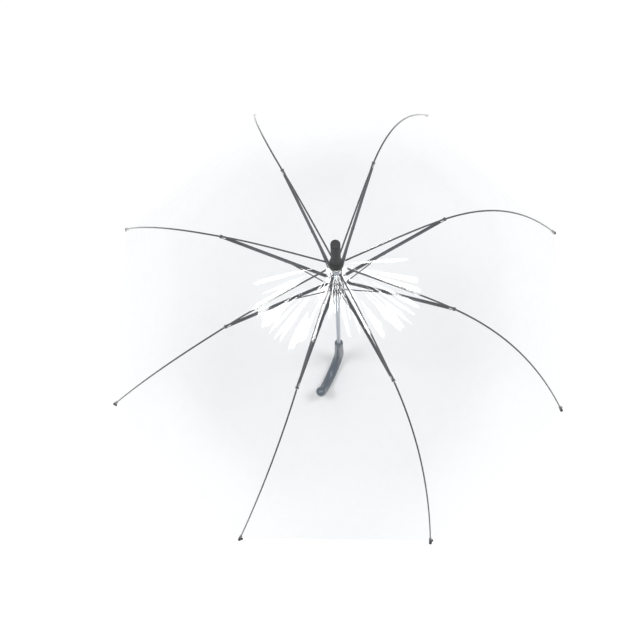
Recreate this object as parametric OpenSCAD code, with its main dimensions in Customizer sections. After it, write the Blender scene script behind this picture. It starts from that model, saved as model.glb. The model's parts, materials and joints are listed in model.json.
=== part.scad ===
// Clear dome umbrella with an automatic opening frame, modelled open.
// +Z runs up the shaft to the ferrule. The origin is on the shaft's axis at the top of the handle,
// where a hand or a holder takes hold, and the crook reaches out along +X.
// Each rib works in its own upright plane: there, x is the distance from the shaft's axis, y is
// sideways and z is the height, and the finished piece is turned about the shaft to its place.

/* [Canopy] */
// Distance from the shaft's axis to each rib tip
canopy_r = 440; // [430:1:450]
// Height of the rim above the top of the handle
rim_z = 228; // [224:1:236]
// Height of the rib pivots above the rim
dome_h = 338; // [334:1:342]
// Radius of the first point that the rib's curve is drawn towards
shoulder_in_r = 178; // [172:1:184]
// Height above the rim of the first point
shoulder_in_h = 311.5; // [308:0.5:314]
// Radius of the second point that the rib's curve is drawn towards
shoulder_out_r = 284; // [278:1:290]
// Height above the rim of the second point
shoulder_out_h = 315.5; // [312:0.5:319]
// How far the tips lean round the shaft, in degrees, clockwise from above
swirl = 5.2; // [0:0.1:6]
// Film thickness, drawn heavier than the 0.2 mm sheet it stands for
film_t = 0.4; // [0.3:0.1:0.6]
// Gap from a rib's centre line up to the film, enough for the elbow's rivet
film_lift = 3.5; // [3.4:0.1:3.7]

/* [Frame] */
// Angle from the crook's plane to the first rib, in degrees
rib_turn = 6.3; // [0:0.1:12]
// Rib diameter at the crown
rib_d = 2.8; // [2.6:0.1:2.8]
// Rib diameter at the tip
rib_tip_d = 2.2; // [2:0.1:2.6]
// Radius of the pivot circles in the crown and the slider
pivot_r = 8.5; // [8.4:0.1:8.8]
// Where the stretcher meets the rib, as a share of the rib's curve
elbow_at = 0.41; // [0.4:0.005:0.42]
// Where the strut meets the stretcher, as a share of its length from the slider
strut_at = 0.415; // [0.41:0.005:0.42]
// Radius of the struts' pivot circle in the runner
runner_pivot_r = 10.2; // [10:0.1:10.6]
// Height of the struts' pivot circle
runner_pivot_z = 434.8; // [433:0.1:436]
// Outer width of a stretcher's channel
channel_w = 4.4; // [4.4:0.1:5.2]
// Wall thickness of a stretcher's channel
channel_wall = 0.4; // [0.35:0.05:0.4]

/* [Shaft and ferrule] */
// Outer diameter of the steel tube
shaft_d = 8; // [8:0.1:8.1]
// Wall thickness of the steel tube
shaft_wall = 0.8; // [0.6:0.1:0.8]
// Length of the ferrule from the film to its tip
ferrule_len = 98; // [90:1:104]
// Diameter of the ferrule's round tip
ferrule_tip_d = 14.6; // [14:0.1:15]
// Diameter of the ferrule's waist
ferrule_waist_d = 15; // [14.6:0.1:15.4]
// Diameter of the ferrule's flared foot
ferrule_foot_d = 21.2; // [20.4:0.1:22]

/* [Runner] */
// Diameter of the runner's slotted head
runner_head_d = 23.4; // [23.2:0.1:24]
// Diameter of the runner's barrel
runner_barrel_d = 15.6; // [15:0.1:16.4]
// Diameter of the pale sleeve below it
sleeve_d = 13.4; // [13:0.1:14]
// Length of the pale sleeve
sleeve_len = 69; // [66:0.5:70]

/* [Handle] */
// Length of the handle's straight grip
grip_len = 100; // [96:1:104]
// Grip diameter at the top
grip_top_d = 16.6; // [16.2:0.1:17]
// Diameter of the crook
crook_d = 20; // [19:0.1:21]
// Radius of the crook's centre line
crook_r = 47.5; // [44:0.5:50]
// Straight length at the crook's free end, before the rounded end
crook_end = 7; // [4:1:10]

/* [Hidden] */

$fn = 64;
rib_count = 8;
rib_step = 360 / rib_count;

// Running clearance of a pin or a wire in its hole
running = 0.05;
// Gap between pieces that pass each other
pass = 0.3;
// Sides of a swept round rod
rod_sides = 8;

ink = "#3b3c40";
slate = "#5d6670";
steel = "#a8b0bb";
milky = "#c9ccd3";
film_tint = [0.93, 0.94, 0.95, 0.35];

// ---- The rib's curve, a cubic drawn from the crown pivot to the tip ----
curve_ends = [[pivot_r, dome_h], [shoulder_in_r, shoulder_in_h],
              [shoulder_out_r, shoulder_out_h], [canopy_r, 0]];
swirl_power = 1.6;
function along(t) = pow(1 - t, 3) * curve_ends[0] + 3 * t * pow(1 - t, 2) * curve_ends[1]
    + 3 * t * t * (1 - t) * curve_ends[2] + pow(t, 3) * curve_ends[3];
// How far round the shaft the curve has leant at t, in degrees
function lean(t) = t <= elbow_at ? 0 : -swirl * pow((t - elbow_at) / (1 - elbow_at), swirl_power);
// Share of the curve that a short length takes up near t
function share(t, length) = length / norm(along(t + 0.005) - along(t - 0.005)) * 0.01;
// A point of the curve in the rib's own plane, lifted square to the curve by lift
function rib_point(t, lift = 0) =
    let (p = along(t), d = along(min(t + 0.01, 1)) - along(min(t, 0.99)),
         n = [-d[1], d[0]] / norm(d), q = p + lift * n, a = lean(t))
    [q[0] * cos(a), q[0] * sin(a), q[1] + rim_z];

// ---- Pivots, as [radius, height] ----
crown_pivot = [pivot_r, dome_h + rim_z];
elbow = along(elbow_at) + [0, rim_z];
arm = norm(elbow - crown_pivot);
open_angle = atan2(elbow[0] - crown_pivot[0], crown_pivot[1] - elbow[1]);
// Each stretcher is as long as the rib from its pivot to the elbow, so the slider stays on the shaft
slider_pivot = [pivot_r, crown_pivot[1] - 2 * arm * cos(open_angle)];
strut_joint = slider_pivot + strut_at * (elbow - slider_pivot);
runner_pivot = [runner_pivot_r, runner_pivot_z];
strut_len = norm(strut_joint - runner_pivot);
strut_tilt = atan2(strut_joint[0] - runner_pivot[0], strut_joint[1] - runner_pivot[1]);

// ---- Sizes worked out from those above ----
shaft_r = shaft_d / 2;
bore_r = shaft_r - shaft_wall;
wire_r = 0.65;
eye_t = 1;
slot_w = eye_t + 2 * pass;
// Radius of the eyes at the elbow
eye_r = 2.2;
// Height of the stretcher channel's roof above its pivots' line
roof_z = 1.8;
crown_top = crown_pivot[1] + 4;
film_plane = crown_top + pass;
ferrule_z = film_plane + film_t + 1.6;
ferrule_top = film_plane + ferrule_len;
shaft_top = ferrule_z + 32;
shaft_foot = -62;
slider_low = slider_pivot[1] - 5;
slider_top = slider_pivot[1] + 3.2;
runner_top = runner_pivot[1] + 8;
head_len = 18;
sleeve_top = 416;
sleeve_foot = sleeve_top - sleeve_len;
catch_z = 87.5;
button_z = -20;

// ---- Helpers ----
function unit(v) = v / norm(v);
function heading(pts, i) = unit(pts[min(i + 1, len(pts) - 1)] - pts[max(i - 1, 0)]);
function circle_at(p, t, side, r, n) =
    let (u = unit(side - (side * t) * t), v = cross(t, u))
    [for (k = [0 : n - 1]) p + r * (cos(360 * k / n) * u + sin(360 * k / n) * v)];

// A round rod swept along pts, from radius r0 to r1; side says which way its first corner looks
module swept_rod(pts, r0, r1, side, n = rod_sides) {
    last = len(pts) - 1;
    skin = [for (i = [0 : last])
        each circle_at(pts[i], heading(pts, i), side, r0 + (r1 - r0) * i / last, n)];
    polyhedron(points = skin, faces = concat(
        [[for (k = [0 : n - 1]) k]],
        [for (i = [0 : last - 1], k = [0 : n - 1])
            [i * n + k, (i + 1) * n + k, (i + 1) * n + (k + 1) % n]],
        [for (i = [0 : last - 1], k = [0 : n - 1])
            [i * n + k, (i + 1) * n + (k + 1) % n, i * n + (k + 1) % n]],
        [[for (k = [n - 1 : -1 : 0]) last * n + k]]));
}

// A disc or drum lying across the rib's plane, centred on a pivot
module cross_drum(p, r, w) {
    translate([p[0], 0, p[1]]) rotate([90, 0, 0]) cylinder(h = w, r = r, center = true);
}

// Puts a piece into the rib's plane at p, with its own x axis tilted from straight up by tilt
module tilted(p, tilt) {
    translate([p[0], 0, p[1]]) rotate([0, tilt - 90, 0]) children();
}

module at_rib(i) {
    rotate([0, 0, rib_turn + rib_step * (i - 1)]) children();
}

module ring_of_slots(z0, z1, r0, r1, w) {
    for (i = [1 : rib_count]) at_rib(i)
        translate([r0, -w / 2, z0]) cube([r1 - r0, w, z1 - z0]);
}

module wire_ring(p, r) {
    rotate_extrude() translate(p) circle(r = r, $fn = 32);
}

// A helical spring about the z axis from z0 to z1
module coil(r, z0, z1, turns, wire, per_turn = 14) {
    steps = ceil(turns * per_turn);
    swept_rod([for (s = [0 : steps]) let (a = 360 * turns * s / steps)
        [r * cos(a), r * sin(a), z0 + (z1 - z0) * s / steps]], wire, wire, [0, 0, 1]);
}

// A bar with round ends, standing out of the handle's side towards -x
module pill(x0, x1, half_len, half_w) {
    translate([x0, -half_w, button_z - half_len + half_w])
        cube([x1 - x0, 2 * half_w, 2 * (half_len - half_w)]);
    for (s = [-1, 1]) translate([x0, 0, button_z + s * (half_len - half_w)])
        rotate([0, 90, 0]) cylinder(h = x1 - x0, r = half_w);
}

// ---- Shaft, ferrule and crown ----
// The tube has one slot for the catch and one for the button's stem
module shaft_tube() {
    color(steel) difference() {
        translate([0, 0, shaft_foot]) cylinder(h = shaft_top - shaft_foot, r = shaft_r);
        translate([0, 0, shaft_foot - 1]) cylinder(h = shaft_top - shaft_foot + 2, r = bore_r);
        translate([-shaft_r - 1, -1.6, catch_z - 7]) cube([shaft_r, 3.2, 14]);
        translate([-shaft_r - 1, -1.9, button_z - 7]) cube([shaft_r, 3.8, 14]);
        translate([0, 0, slider_top + pass + 0.8]) rotate([0, 90, 0])
            cylinder(h = shaft_d + 2, r = 0.8, center = true);
    }
}

// The ferrule swells at its foot and again, slightly, at its tip
module ferrule() {
    waist = ferrule_waist_d / 2;
    foot = ferrule_foot_d / 2;
    tip = ferrule_tip_d / 2;
    rise = ferrule_top - ferrule_z;
    edge = 1.2;
    color(ink) difference() {
        rotate_extrude() polygon(concat(
            [[0, ferrule_z], [foot - 1, ferrule_z]],
            [for (a = [-60 : 15 : 45]) [foot - 2.2 + 2.2 * cos(a), ferrule_z + 3 + 2.2 * sin(a)]],
            [for (s = [0.25 : 0.125 : 1]) [waist + (foot - waist) * pow(cos(90 * s), 2),
                ferrule_z + 4 + 20 * s]],
            [[tip, ferrule_z + rise * 0.7], [tip, ferrule_top - edge]],
            [for (a = [15 : 15 : 90]) [tip - edge + edge * cos(a), ferrule_top - edge + edge * sin(a)]],
            [[0, ferrule_top]]));
        translate([0, 0, ferrule_z - 1]) cylinder(h = shaft_top - ferrule_z + 1.5, r = shaft_r);
    }
}

module crown_washer() {
    color(ink) difference() {
        translate([0, 0, film_plane + film_t + 0.1]) cylinder(h = 1.4, r = 9);
        translate([0, 0, film_plane]) cylinder(h = 4, r = shaft_r);
    }
}

// Slotted ring that the rib eyes sit in, open below so that the ribs can fold down
module crown_notch() {
    z0 = crown_pivot[1] - 6;
    color(ink) difference() {
        translate([0, 0, z0]) cylinder(h = crown_top - z0, r = pivot_r + 2);
        translate([0, 0, z0 - 1]) cylinder(h = 14, r = shaft_r);
        ring_of_slots(z0 - 1, crown_pivot[1] + 2.3, 5.9, pivot_r + 3, slot_w);
        wire_ring(crown_pivot, wire_r + 0.03);
    }
}

module crown_wire() { color(steel) wire_ring(crown_pivot, wire_r); }

// Pin through the shaft that the slider comes up to when the frame is open
module stop_pin() {
    color(steel) translate([0, 0, slider_top + pass + 0.8]) rotate([0, 90, 0])
        cylinder(h = 13, r = 0.8, center = true);
}

// ---- Canopy film ----
cap_len = 14;
film_steps = 20;
film_hole_r = 6;
// The film leaves the crown here and stops just short of the tip caps
film_start = 0.02;
film_end = 1 - share(0.99, cap_len + pass);
function film_corner(k, t, lift) =
    let (p = rib_point(t, lift), a = rib_turn + rib_step * k)
    [p[0] * cos(a) - p[1] * sin(a), p[0] * sin(a) + p[1] * cos(a), p[2]];
function film_ring(r, z) = [for (k = [0 : rib_count - 1])
    let (a = rib_turn + rib_step * k) [r * cos(a), r * sin(a), z]];
// Rings of the film from the crown to the hem: two flat ones on the crown, then along the ribs
function film_rings(lift, flat_z) = concat(
    film_ring(film_hole_r, flat_z), film_ring(pivot_r + 3.5, flat_z - 0.1),
    [for (j = [0 : film_steps], k = [0 : rib_count - 1])
        film_corner(k, film_start + (film_end - film_start) * j / film_steps, lift)]);

// One closed sheet with an outer and an inner face, a hole for the shaft and straight hems
module canopy() {
    n = rib_count;
    rings = film_steps + 3;
    outer = film_rings(film_lift + film_t, film_plane + film_t);
    inner = film_rings(film_lift, film_plane);
    m = rings * n;
    function at(side, j, k) = side * m + j * n + k % n;
    color(film_tint) polyhedron(points = concat(outer, inner), faces = concat(
        [for (j = [0 : rings - 2], k = [0 : n - 1])
            [at(0, j, k), at(0, j, k + 1), at(0, j + 1, k + 1)]],
        [for (j = [0 : rings - 2], k = [0 : n - 1])
            [at(0, j, k), at(0, j + 1, k + 1), at(0, j + 1, k)]],
        [for (j = [0 : rings - 2], k = [0 : n - 1])
            [at(1, j, k), at(1, j + 1, k + 1), at(1, j, k + 1)]],
        [for (j = [0 : rings - 2], k = [0 : n - 1])
            [at(1, j, k), at(1, j + 1, k), at(1, j + 1, k + 1)]],
        [for (k = [0 : n - 1]) [at(0, 0, k), at(1, 0, k), at(1, 0, k + 1)]],
        [for (k = [0 : n - 1]) [at(0, 0, k), at(1, 0, k + 1), at(0, 0, k + 1)]],
        [for (k = [0 : n - 1]) [at(0, rings - 1, k), at(0, rings - 1, k + 1), at(1, rings - 1, k + 1)]],
        [for (k = [0 : n - 1]) [at(0, rings - 1, k), at(1, rings - 1, k + 1), at(1, rings - 1, k)]]));
}

// ---- Handle, button and catch ----
// The crook: a tapered grip round the shaft's foot, a half turn and a rounded free end
module crook_handle() {
    r = crook_d / 2;
    color(slate) difference() {
        union() {
            translate([0, 0, -grip_len]) cylinder(h = grip_len, r1 = r, r2 = grip_top_d / 2);
            translate([crook_r, 0, -grip_len]) rotate([90, 0, 0])
                rotate([0, 0, 180]) rotate_extrude(angle = 180, $fn = 96)
                    translate([crook_r, 0]) circle(r = r, $fn = 48);
            translate([2 * crook_r, 0, -grip_len]) cylinder(h = crook_end, r = r);
            translate([2 * crook_r, 0, crook_end - grip_len]) rotate_extrude()
                polygon(concat([[0, 0]], [for (a = [0 : 10 : 90]) [r * cos(a), 0.6 * r * sin(a)]]));
        }
        translate([0, 0, shaft_foot]) cylinder(h = -shaft_foot + 1, r = shaft_r);
        translate([-crook_d, 0, 0]) pill(0, crook_d - shaft_r + 0.5, 12, 3.9);
        translate([0, 0, -5]) difference() {
            cylinder(h = 6, r = crook_d);
            translate([0, 0, -1]) cylinder(h = 8, r = grip_top_d / 2 - 1.2);
        }
    }
}

// Ring pressed on the top of the grip
module handle_collar() {
    r = grip_top_d / 2;
    color(ink) translate([0, 0, -5]) rotate_extrude() polygon([[r - 1.2, 0], [r + 0.4, 0],
        [r + 0.4, 4.2], [r - 0.4, 5.6], [shaft_r, 5.6], [shaft_r, 5], [r - 1.2, 5]]);
}

// Push button in the side of the grip, with a stem through the tube to the catch's strip
module release_button() {
    color(ink) {
        intersection() {
            pill(-11.4, -6.9, 10.8, 3.4);
            translate([9, 0, button_z]) rotate([90, 0, 0]) cylinder(h = 8, r = 20.4, center = true, $fn = 128);
        }
        translate([-7.2, -1.5, button_z - 4]) cube([4.6, 3, 8]);
    }
}

// Strip inside the tube: its upper end is the catch that holds the closed runner down
module latch_strip() {
    color(steel) {
        translate([-2.6, -1.4, button_z - 8]) cube([0.8, 2.8, catch_z - button_z + 14]);
        translate([-6, -1.2, catch_z - 4]) cube([3.8, 2.4, 8]);
    }
}

module button_spring() {
    color(steel) translate([-1.7, 0, button_z]) rotate([0, 90, 0]) coil(1.3, 0, 4.7, 5, 0.2, 10);
}

// ---- Slider, spring and runner ----
module slider_notch() {
    color(ink) difference() {
        translate([0, 0, slider_low]) cylinder(h = slider_top - slider_low, r = pivot_r + 1.5);
        translate([0, 0, slider_low - 1]) cylinder(h = 12, r = shaft_r + pass);
        ring_of_slots(slider_pivot[1] - 2.3, slider_top + 1, 5.9, pivot_r + 3, slot_w);
        wire_ring(slider_pivot, wire_r + 0.03);
    }
}

module slider_wire() { color(steel) wire_ring(slider_pivot, wire_r); }

// Coil that drives the slider and the runner apart and so opens the frame
module opening_spring() {
    color(steel) coil(5.6, runner_top + 0.7, slider_low - 0.7, 5.5, 0.6);
}

// Slotted head and barrel of the runner; its slots are open above for the loose strut pivots
module runner_notch() {
    head = runner_head_d / 2;
    barrel = runner_barrel_d / 2;
    color(ink) difference() {
        rotate_extrude() polygon([[shaft_r + pass, sleeve_top], [barrel, sleeve_top],
            [barrel, runner_top - head_len - 4], [head, runner_top - head_len],
            [head, runner_top - 1], [head - 1, runner_top], [shaft_r + pass, runner_top]]);
        ring_of_slots(runner_pivot[1] - 2.6, runner_top + 1, 7.6, head + 1, slot_w + 0.6);
    }
}

// Pale sleeve below the runner, with a collar at its foot and a way for the catch
module runner_sleeve() {
    r = sleeve_d / 2;
    color(milky) difference() {
        rotate_extrude() polygon([[shaft_r + pass, sleeve_foot], [r + 0.6, sleeve_foot],
            [r + 0.6, sleeve_foot + 5], [r, sleeve_foot + 6.5], [r, sleeve_foot + 34],
            [r + 0.5, sleeve_foot + 35], [r + 0.5, sleeve_foot + 38], [r, sleeve_foot + 39],
            [r, sleeve_top], [shaft_r + pass, sleeve_top]]);
        translate([-r - 2, -1.7, sleeve_foot - 1]) cube([r, 3.4, 14.6]);
    }
}

// ---- The eight ribs and their arms ----
inner_steps = 14;
outer_steps = 20;
// The rod starts outside the crown's ring and ends short of the elbow's eye
inner_start = 0.015;
elbow_gap = 3.1;

// From the crown's wire to the elbow, with a flat eye at each end
module inner_rib(i) {
    first = along(inner_start) + [0, rim_z];
    color(ink) at_rib(i) difference() {
        union() {
            swept_rod([for (s = [0 : inner_steps])
                rib_point(inner_start + (elbow_at - inner_start) * s / inner_steps)],
                rib_d / 2, rib_d / 2 - 0.1, [0, 1, 0]);
            cross_drum(crown_pivot, 1.9, eye_t);
            tilted(crown_pivot, 90 + atan2(crown_pivot[1] - first[1], first[0] - crown_pivot[0]))
                translate([0, -eye_t / 2, -1.4]) cube([norm(first - crown_pivot) + 2, eye_t, 2.8]);
            cross_drum(elbow, eye_r, 2.4);
        }
        cross_drum(crown_pivot, wire_r + running + 0.02, 4);
        cross_drum(elbow, 0.8 + running, 6);
    }
}

// The springy outer length of the rib, which leans round the shaft towards its tip
module outer_rib(i) {
    start = elbow_at + share(elbow_at, elbow_gap);
    color(ink) at_rib(i) swept_rod([for (s = [0 : outer_steps])
        rib_point(start + (1 - start) * s / outer_steps)], rib_d / 2, rib_tip_d / 2, [0, 1, 0]);
}

// Moulded cap over the rib's end, with a tab at its side that holds the film's corner
module tip_cap(i) {
    end = rib_point(1);
    back = rib_point(1 - share(0.99, cap_len));
    out = unit(end - back);
    color(ink) at_rib(i) {
        difference() {
            union() {
                swept_rod([back, back + out * 3, end - out * 2, end + out], 2.2, 2.9, [0, 1, 0], 12);
                translate(end + out) sphere(r = 2.9, $fn = 24);
            }
            swept_rod([back - out * 2, back, end - out, end + out * 0.3], 1.35, 1.25, [0, 1, 0]);
        }
        translate(end - out * 6) rotate([0, 0, lean(1)]) rotate([0, 52, 0])
            translate([-1, 1.6, -1.1]) cube([5, 3.4, 1.2]);
    }
}

// Channel from the slider to the elbow; its open side faces down and takes in the strut.
// The two rivets are solids of their own, pressed into the channel's walls.
module stretcher(i) {
    half = channel_w / 2;
    gap = half - channel_wall;
    color(slate) at_rib(i) tilted(slider_pivot, open_angle) {
        difference() {
            union() {
                rotate([90, 0, 0]) cylinder(h = eye_t, r = 1.9, center = true);
                translate([0, -eye_t / 2, -1]) cube([16, eye_t, 1.2 + roof_z]);
                translate([9, -half, roof_z]) cube([arm - 17, channel_w, channel_wall]);
                for (s = [-1, 1]) translate([0, s * (gap + channel_wall / 2), 0]) rotate([90, 0, 0]) {
                    linear_extrude(channel_wall, center = true)
                        polygon([[9, -1.7], [arm, -1.7], [arm, 1.2], [arm - 4, 1.4],
                            [arm - 8, roof_z + channel_wall], [9, roof_z + channel_wall]]);
                    translate([arm, 0, 0]) cylinder(h = channel_wall, r = eye_r, center = true);
                }
            }
            rotate([90, 0, 0]) cylinder(h = 4, r = wire_r + running + 0.02, center = true);
            translate([arm, 0, 0]) rotate([90, 0, 0]) cylinder(h = 8, r = 0.82, center = true);
            translate([strut_at * arm, 0, 0]) rotate([90, 0, 0]) cylinder(h = 8, r = 0.62, center = true);
        }
        rivet(arm, 0.8);
        rivet(strut_at * arm, 0.6);
    }
}

// A rivet across the channel, with a low head at each side
module rivet(x, r) {
    half = channel_w / 2 + 0.03;
    translate([x, 0, 0]) rotate([90, 0, 0]) {
        cylinder(h = 2 * half, r = r, center = true);
        for (s = [-1, 1]) translate([0, 0, s * (half + 0.25)])
            cylinder(h = 0.5, r = r + 0.6, center = true);
    }
}

// Short arm from the stretcher to the runner; it lies in the stretcher's channel when folded
module strut(i) {
    color(slate) at_rib(i) tilted(runner_pivot, strut_tilt) difference() {
        union() {
            for (x = [0, strut_len]) translate([x, 0, 0]) rotate([90, 0, 0])
                cylinder(h = 1.4, r = 1.5, center = true);
            translate([0, -0.7, -1]) cube([strut_len, 1.4, 2]);
        }
        rotate([90, 0, 0]) cylinder(h = 4, r = 0.6, center = true);
        translate([strut_len, 0, 0]) rotate([90, 0, 0]) cylinder(h = 4, r = 0.6 + running, center = true);
    }
}

shaft_tube();
ferrule();
crown_washer();
crown_notch();
crown_wire();
stop_pin();
canopy();
crook_handle();
handle_collar();
release_button();
latch_strip();
button_spring();
slider_notch();
slider_wire();
opening_spring();
runner_notch();
runner_sleeve();
for (i = [1 : rib_count]) {
    inner_rib(i);
    outer_rib(i);
    tip_cap(i);
    stretcher(i);
    strut(i);
}
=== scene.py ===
"""Looks of a clear dome umbrella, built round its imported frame.

Everything is in metres and in the frame's own axes: +Z runs up the shaft to the ferrule and +X
points to the free end of the crook. Ribs are numbered from the one nearest to +X, turning from
+X towards +Y.
"""

import json
import logging
import math
from collections.abc import Iterable, Sequence
from dataclasses import dataclass, field
from enum import Enum
from functools import lru_cache

import bmesh
import bpy
import numpy as np
from mathutils import Matrix, Vector


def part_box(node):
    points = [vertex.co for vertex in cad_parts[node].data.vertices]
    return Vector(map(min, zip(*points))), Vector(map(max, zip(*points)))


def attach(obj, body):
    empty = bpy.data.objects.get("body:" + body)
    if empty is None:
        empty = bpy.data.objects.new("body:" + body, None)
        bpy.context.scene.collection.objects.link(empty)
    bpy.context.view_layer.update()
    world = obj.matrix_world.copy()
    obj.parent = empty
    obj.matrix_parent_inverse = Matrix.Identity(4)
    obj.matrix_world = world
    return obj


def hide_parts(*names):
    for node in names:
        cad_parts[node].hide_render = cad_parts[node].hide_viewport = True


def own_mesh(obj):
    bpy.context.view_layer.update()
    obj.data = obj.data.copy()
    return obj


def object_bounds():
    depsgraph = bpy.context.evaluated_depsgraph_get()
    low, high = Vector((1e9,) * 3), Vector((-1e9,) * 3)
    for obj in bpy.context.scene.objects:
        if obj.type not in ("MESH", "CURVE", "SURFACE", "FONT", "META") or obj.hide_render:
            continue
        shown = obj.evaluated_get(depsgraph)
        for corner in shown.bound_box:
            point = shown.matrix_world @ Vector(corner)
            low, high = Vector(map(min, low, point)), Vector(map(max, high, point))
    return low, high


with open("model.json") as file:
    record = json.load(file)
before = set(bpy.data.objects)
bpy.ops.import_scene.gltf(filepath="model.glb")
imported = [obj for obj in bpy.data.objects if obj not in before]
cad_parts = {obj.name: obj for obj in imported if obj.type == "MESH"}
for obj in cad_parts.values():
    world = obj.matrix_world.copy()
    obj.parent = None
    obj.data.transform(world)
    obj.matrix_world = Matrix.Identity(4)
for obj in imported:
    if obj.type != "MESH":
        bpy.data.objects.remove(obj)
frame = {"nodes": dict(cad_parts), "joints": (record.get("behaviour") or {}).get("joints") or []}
CAD_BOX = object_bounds()

log = logging.getLogger("dome_umbrella")
MM = 0.001
RIBS = 8

# Points of a frame node that are closer than this are one point
MERGE_GAP = 2e-6
# Neighbouring faces of a frame node that turn by less than this are one face
FLAT_ANGLE = math.radians(0.4)
# Edges that turn by more than this are rounded
ROUNDED_ANGLE = math.radians(40)
# Points of a swept mesh that are closer than this are one point
SWEPT_GAP = 1e-7


# ---- Finishes ----


def linear(colour: str) -> tuple[float, float, float, float]:
    """Turns an sRGB hex colour into linear light.

    Args:
        colour: Six hex digits after a #.

    Returns:
        Red, green, blue and an alpha of 1, linear.
    """
    parts = [int(colour[i : i + 2], 16) / 255 for i in (1, 3, 5)]
    flat = [p / 12.92 if p <= 0.04045 else ((p + 0.055) / 1.055) ** 2.4 for p in parts]
    return (*flat, 1.0)


def add_node(
    tree: bpy.types.NodeTree, kind: str, inputs: dict | None = None, **settings
) -> bpy.types.Node:
    """Adds a node with its settings, its values and its links.

    Args:
        tree: The tree that the node goes into.
        kind: The node's type name.
        inputs: Input names or numbers, each with a value or with the socket that feeds it.
        **settings: The node's own properties.

    Returns:
        The new node.
    """
    node = tree.nodes.new(kind)
    for name, value in settings.items():
        setattr(node, name, value)
    for name, value in (inputs or {}).items():
        if isinstance(value, bpy.types.NodeSocket):
            tree.links.new(value, node.inputs[name])
        else:
            node.inputs[name].default_value = value
    return node


def new_material(name: str) -> tuple[bpy.types.Material, bpy.types.NodeTree]:
    """Makes a material with an empty node tree.

    Args:
        name: The finish's name.

    Returns:
        The material and its tree.
    """
    material = bpy.data.materials.new(name)
    material.use_nodes = True
    material.node_tree.nodes.clear()
    return material, material.node_tree


class Grain(Enum):
    """How a surface was made, as the stretch of its grain along X, Y and Z."""

    MOULDED = (1.0, 1.0, 1.0)
    DRAWN = (1.0, 1.0, 0.04)


@dataclass(frozen=True)
class SolidFinish:
    """One opaque finish: its colour, how it shines and the grain that its making left.

    Attributes:
        name: What the finish really is.
        base: Its colour.
        worn: The colour in its paler or darker patches.
        roughness: Middle roughness.
        grain: How it was made.
        grain_mm: Size of the grain.
        bump_mm: Height of the grain.
        metallic: 1 for bare metal.
        ior: Index of refraction, for what isn't metal.
    """

    name: str
    base: str
    worn: str
    roughness: float
    grain: Grain = Grain.MOULDED
    grain_mm: float = 0.6
    bump_mm: float = 0.01
    metallic: float = 0.0
    ior: float = 1.5

    def make(self) -> bpy.types.Material:
        """Builds the material."""
        material, tree = new_material(self.name)
        place = add_node(tree, "ShaderNodeTexCoord").outputs["Object"]
        stretch = [1000 * s for s in self.grain.value]
        fine = add_node(tree, "ShaderNodeMapping", {"Vector": place, "Scale": stretch})
        grain = add_node(
            tree, "ShaderNodeTexNoise",
            {"Vector": fine.outputs[0], "Scale": 1 / self.grain_mm, "Detail": 3.0,
             "Roughness": 0.6},
        )
        # Soft patches, some 15 mm across
        patches = add_node(
            tree, "ShaderNodeTexNoise",
            {"Vector": place, "Scale": 60.0, "Detail": 4.0, "Roughness": 0.65},
        )
        share = add_node(
            tree, "ShaderNodeMapRange",
            {"Value": patches.outputs["Fac"], "From Min": 0.42, "From Max": 0.68, "To Max": 0.8},
        )
        colour = add_node(
            tree, "ShaderNodeMix",
            {"Factor": share.outputs[0], "A": linear(self.base), "B": linear(self.worn)},
            data_type="RGBA",
        )
        rough = add_node(
            tree, "ShaderNodeMapRange",
            {"Value": grain.outputs["Fac"], "From Min": 0.3, "From Max": 0.7,
             "To Min": self.roughness * 0.82, "To Max": min(1.0, self.roughness * 1.2)},
        )
        bump = add_node(
            tree, "ShaderNodeBump",
            {"Height": grain.outputs["Fac"], "Strength": 0.6, "Distance": self.bump_mm * MM},
        )
        shader = add_node(
            tree, "ShaderNodeBsdfPrincipled",
            {"Base Color": colour.outputs["Result"], "Roughness": rough.outputs[0],
             "Normal": bump.outputs[0], "Metallic": self.metallic},
        )
        if not self.metallic:
            shader.inputs["IOR"].default_value = self.ior
        add_node(tree, "ShaderNodeOutputMaterial", {"Surface": shader.outputs[0]})
        return material


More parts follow.
